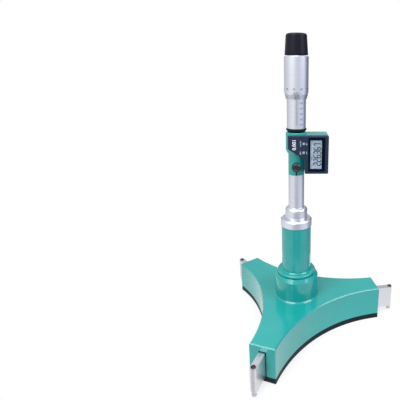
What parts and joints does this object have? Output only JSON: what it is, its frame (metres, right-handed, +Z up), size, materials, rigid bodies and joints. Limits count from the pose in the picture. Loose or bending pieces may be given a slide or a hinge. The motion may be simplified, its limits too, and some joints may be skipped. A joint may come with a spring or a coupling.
{
  "type": "inside micrometer",
  "caption": "Digital three-point inside micrometer: a thimble feeds a cone that spreads the anvils of a tripod head, with a display on the stem.",
  "frame": {"origin": "on the instrument's axis, at the underside of the base plate", "axes": "+Z up along the spindle axis to the ratchet cap; +X along the first anvil; the display faces -Y, turned ten degrees towards -X"},
  "size_m": [0.1719, 0.1976, 0.3052],
  "materials": {
    "green_enamel": "gloss enamel",
    "dark_plate": "dark satin finish",
    "satin_chrome": "satin chrome",
    "hardened_steel": "ground",
    "carbide": "ground carbide",
    "screw_steel": "plain",
    "spring_steel": "drawn wire",
    "bronze": "turned",
    "slate_panel": "satin",
    "black_frame": "matte",
    "display_glass": "clear",
    "display": "liquid crystal cell",
    "board": "solder mask",
    "key_plastic": "moulded",
    "seal_rubber": "moulded",
    "black_cap": "black anodised"
  },
  "bodies": {
    "frame": {"head_body": "green_enamel", "base_plate": "dark_plate", "base_plate_screws": "screw_steel", "spring_posts": "screw_steel", "lower_rod_bush": "bronze", "column": "green_enamel", "column_ring": "satin_chrome", "coupling_nut": "satin_chrome", "upper_rod_bush": "bronze", "stem_tube": "satin_chrome", "readout_body": "green_enamel", "readout_panel": "slate_panel", "lcd_bezel": "black_frame", "lcd_window": "display_glass", "lcd_cell": "display", "circuit_board": "board", "battery": "screw_steel", "battery_cover": "green_enamel", "readout_screws": "screw_steel", "clamp_screw": "black_frame", "seal_ring": "seal_rubber", "sleeve": "satin_chrome", "spindle_nut": "bronze", "encoder_stator": "bronze", "rod_spring": "spring_steel", "return_spring_1": "spring_steel", "return_spring_2": "spring_steel", "return_spring_3": "spring_steel"},
    "feed": {"cone": "hardened_steel", "push_rod": "hardened_steel", "spring_seat": "screw_steel", "thrust_ball": "hardened_steel"},
    "thimble": {"spindle": "hardened_steel", "thimble": "satin_chrome", "thimble_nut": "screw_steel", "ratchet_screw": "screw_steel", "ratchet_spring": "spring_steel"},
    "ratchet_cap": {"ratchet_cap": "black_cap", "ratchet_lid": "black_cap"},
    "anvil_1": {"anvil_blade_1": "hardened_steel", "measuring_pin_1": "carbide"},
    "anvil_2": {"anvil_blade_2": "hardened_steel", "measuring_pin_2": "carbide"},
    "anvil_3": {"anvil_blade_3": "hardened_steel", "measuring_pin_3": "carbide"},
    "encoder_rotor": {"encoder_rotor": "black_frame"},
    "button_1": {"button_1": "key_plastic"},
    "button_2": {"button_2": "key_plastic"}
  },
  "joints": [
    {"name": "spindle_feed", "type": "slide", "parent": "frame", "child": "feed", "axis": [0, 0, -1], "range_m": [-0.00137, 0.02363], "deforming": ["rod_spring"]},
    {"name": "thimble_turn", "type": "hinge", "parent": "feed", "child": "thimble", "pos_m": [0, 0, 0.265], "axis": [0, 0, -1], "range_deg": [-992.24, 17023.76]},
    {"name": "anvil_1_slide", "type": "slide", "parent": "frame", "child": "anvil_1", "axis": [1, 0, 0], "range_m": [-0.0007, 0.01184], "deforming": ["return_spring_1"]},
    {"name": "anvil_2_slide", "type": "slide", "parent": "frame", "child": "anvil_2", "axis": [-0.5, 0.866, 0], "range_m": [-0.0007, 0.01184], "deforming": ["return_spring_2"]},
    {"name": "anvil_3_slide", "type": "slide", "parent": "frame", "child": "anvil_3", "axis": [-0.5, -0.866, 0], "range_m": [-0.0007, 0.01184], "deforming": ["return_spring_3"]},
    {"name": "encoder_turn", "type": "hinge", "parent": "frame", "child": "encoder_rotor", "pos_m": [0, 0, 0.195], "axis": [0, 0, -1], "range_deg": [-992.24, 17023.76]},
    {"name": "ratchet_turn", "type": "hinge", "parent": "thimble", "child": "ratchet_cap", "pos_m": [0, 0, 0.295], "axis": [0, 0, -1], "continuous": true},
    {"name": "button_1_press", "type": "slide", "parent": "frame", "child": "button_1", "axis": [0.1736, 0.9848, 0], "range_m": [0, 0.0004], "stiffness_N_per_m": 600},
    {"name": "button_2_press", "type": "slide", "parent": "frame", "child": "button_2", "axis": [0.1736, 0.9848, 0], "range_m": [0, 0.0004], "stiffness_N_per_m": 600}
  ],
  "couplings": [
    {"joint": "thimble_turn", "follows": "spindle_feed", "rad_per_m": 12566},
    {"joint": "anvil_1_slide", "follows": "spindle_feed", "ratio": 0.5},
    {"joint": "anvil_2_slide", "follows": "spindle_feed", "ratio": 0.5},
    {"joint": "anvil_3_slide", "follows": "spindle_feed", "ratio": 0.5},
    {"joint": "encoder_turn", "follows": "spindle_feed", "rad_per_m": 12566}
  ]
}
